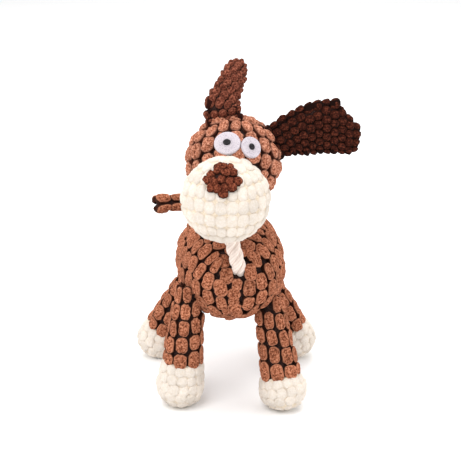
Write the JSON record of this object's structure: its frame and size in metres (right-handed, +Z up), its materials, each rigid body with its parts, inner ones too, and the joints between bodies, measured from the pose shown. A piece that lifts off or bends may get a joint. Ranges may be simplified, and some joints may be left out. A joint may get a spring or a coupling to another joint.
{
  "type": "squeaky dog toy",
  "caption": "Standing tufted plush dog with a rope neck, floppy ears, cream muzzle and paws, and a squeaker that is squeezed through the belly.",
  "frame": {"origin": "middle of the ground area that the toy covers, ears and tail included, on the plane of its soles", "axes": "+Z up, +X to the dog's own left, and the dog looks along -Y"},
  "size_m": [0.1666, 0.1954, 0.2692],
  "materials": {
    "brown_plush": "tufted short-pile plush, soft matt",
    "dark_brown_plush": "tufted short-pile plush, soft matt",
    "cream_plush": "tufted short-pile plush, soft matt",
    "cotton_rope": "twisted undyed cotton, matt",
    "eye_embroidery": "stitched felt, matt",
    "pupil_embroidery": "satin stitch, slight sheen",
    "polyester_fill": "loose white wadding",
    "squeaker_plastic": "blown polyethylene, satin",
    "reed_strip": "thin plastic strip, satin"
  },
  "bodies": {
    "torso": {"body_cover": "brown_plush", "body_stuffing": "polyester_fill", "rope_knot_body": "cotton_rope", "squeaker_holder": "squeaker_plastic", "squeaker_reed": "reed_strip"},
    "squeaker": {"squeaker_bulb": "squeaker_plastic"},
    "neck_lower": {"neck_rope_lower": "cotton_rope"},
    "neck_upper": {"neck_rope_upper": "cotton_rope"},
    "head": {"head_cover": "brown_plush", "head_stuffing": "polyester_fill", "rope_knot_head": "cotton_rope", "muzzle_cover": "cream_plush", "muzzle_stuffing": "polyester_fill", "nose_patch": "dark_brown_plush", "eye_white_right": "eye_embroidery", "pupil_right": "pupil_embroidery", "eye_white_left": "eye_embroidery", "pupil_left": "pupil_embroidery"},
    "ear_right": {"ear_cover_right": "dark_brown_plush", "ear_wadding_right": "polyester_fill"},
    "ear_left": {"ear_cover_left": "dark_brown_plush", "ear_wadding_left": "polyester_fill"},
    "tail": {"tail_cover": "brown_plush", "tail_stuffing": "polyester_fill"},
    "leg_front_right": {"leg_sleeve_front_right": "brown_plush", "paw_front_right": "cream_plush", "leg_stuffing_front_right": "polyester_fill"},
    "leg_front_left": {"leg_sleeve_front_left": "brown_plush", "paw_front_left": "cream_plush", "leg_stuffing_front_left": "polyester_fill"},
    "leg_rear_right": {"leg_sleeve_rear_right": "brown_plush", "paw_rear_right": "cream_plush", "leg_stuffing_rear_right": "polyester_fill"},
    "leg_rear_left": {"leg_sleeve_rear_left": "brown_plush", "paw_rear_left": "cream_plush", "leg_stuffing_rear_left": "polyester_fill"}
  },
  "joints": [
    {"name": "neck_sway", "type": "hinge", "parent": "torso", "child": "neck_lower", "pos_m": [-0.00545, -0.04436, 0.11896], "axis": [0, 1, 0], "range_deg": [-25, 25], "stiffness_Nm_per_rad": 0.5},
    {"name": "neck_nod", "type": "hinge", "parent": "neck_lower", "child": "neck_upper", "pos_m": [-0.01183, -0.04059, 0.14335], "axis": [1, 0, 0], "range_deg": [-30, 35], "stiffness_Nm_per_rad": 0.5},
    {"name": "head_turn", "type": "hinge", "parent": "neck_upper", "child": "head", "pos_m": [-0.01822, -0.03682, 0.16775], "axis": [-0.2504, 0.1478, 0.9568], "range_deg": [-40, 40], "stiffness_Nm_per_rad": 0.3},
    {"name": "ear_right_flop", "type": "hinge", "parent": "head", "child": "ear_right", "pos_m": [-0.01702, -0.03031, 0.23739], "axis": [0.9812, 0, 0.1929], "range_deg": [-30, 80], "stiffness_Nm_per_rad": 0.04},
    {"name": "ear_left_flop", "type": "hinge", "parent": "head", "child": "ear_left", "pos_m": [0.02566, -0.03308, 0.2167], "axis": [0.4394, 0, -0.8983], "range_deg": [-50, 50], "stiffness_Nm_per_rad": 0.04},
    {"name": "tail_wag", "type": "hinge", "parent": "torso", "child": "tail", "pos_m": [-0.00838, 0.07193, 0.12086], "axis": [0, 0, 1], "range_deg": [-30, 30], "stiffness_Nm_per_rad": 0.04},
    {"name": "hip_front_right", "type": "hinge", "parent": "torso", "child": "leg_front_right", "pos_m": [-0.0426, -0.02149, 0.08999], "axis": [1, 0, 0], "range_deg": [-20, 20], "stiffness_Nm_per_rad": 0.5},
    {"name": "hip_front_left", "type": "hinge", "parent": "torso", "child": "leg_front_left", "pos_m": [0.01908, -0.02094, 0.08055], "axis": [1, 0, 0], "range_deg": [-20, 20], "stiffness_Nm_per_rad": 0.5},
    {"name": "hip_rear_right", "type": "hinge", "parent": "torso", "child": "leg_rear_right", "pos_m": [-0.03444, 0.04989, 0.08076], "axis": [1, 0, 0], "range_deg": [-20, 20], "stiffness_Nm_per_rad": 0.5},
    {"name": "hip_rear_left", "type": "hinge", "parent": "torso", "child": "leg_rear_left", "pos_m": [0.01768, 0.04989, 0.08076], "axis": [1, 0, 0], "range_deg": [-20, 20], "stiffness_Nm_per_rad": 0.5},
    {"name": "squeak", "type": "slide", "parent": "torso", "child": "squeaker", "axis": [0, 0, -1], "range_m": [0, 0.008], "stiffness_N_per_m": 400, "deforming": ["squeaker_bulb"]}
  ]
}
